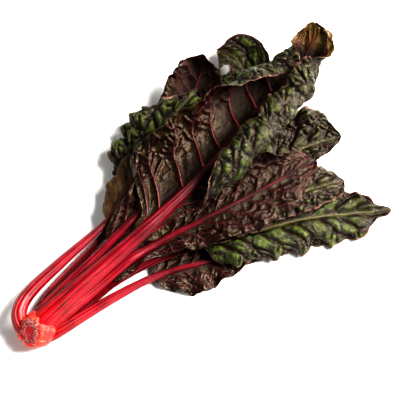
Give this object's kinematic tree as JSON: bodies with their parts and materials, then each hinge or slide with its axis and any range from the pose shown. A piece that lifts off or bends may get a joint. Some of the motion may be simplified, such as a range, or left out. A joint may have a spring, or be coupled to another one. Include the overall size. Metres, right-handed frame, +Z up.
{
  "type": "swiss chard bunch",
  "caption": "Whole head of red-stalked swiss chard lying on its side, with a cut crown, ribbed stalks and dark crinkled leaves.",
  "frame": {"origin": "inside the flat spot under the crown, on the surface that the bunch lies on", "axes": "+X runs along the bunch from the cut crown to the leaf tips, +Y is the side to which the outer left stalk bows, +Z is up"},
  "size_m": [0.5659, 0.3435, 0.1077],
  "materials": {
    "crown": "moist cut root, orange-red with pale rings",
    "stalk": "waxy crimson, ribbed lengthwise",
    "leaf_upper": "dark green and bronze, puffed between the veins",
    "leaf_under": "glossy dark burgundy with olive panels and red veins"
  },
  "bodies": {
    "root": {"crown": "crown", "stalk_back": "stalk", "leaf_back": "leaf_upper", "stalk_right_tip": "stalk", "leaf_right_tip": "leaf_upper", "stalk_front": "stalk", "leaf_front": "leaf_under", "stalk_front_right": "stalk", "leaf_front_right": "leaf_upper", "stalk_right_low": "stalk", "leaf_right_low": "leaf_upper", "stalk_hood": "stalk", "leaf_hood": "leaf_under", "stalk_back_left": "stalk", "leaf_back_left": "leaf_upper", "stalk_right": "stalk", "leaf_right": "leaf_under", "stalk_left": "stalk", "leaf_left": "leaf_under", "stalk_inner_left": "stalk", "leaf_inner_left": "leaf_under", "stalk_top": "stalk", "leaf_top": "leaf_under"}
  },
  "joints": []
}
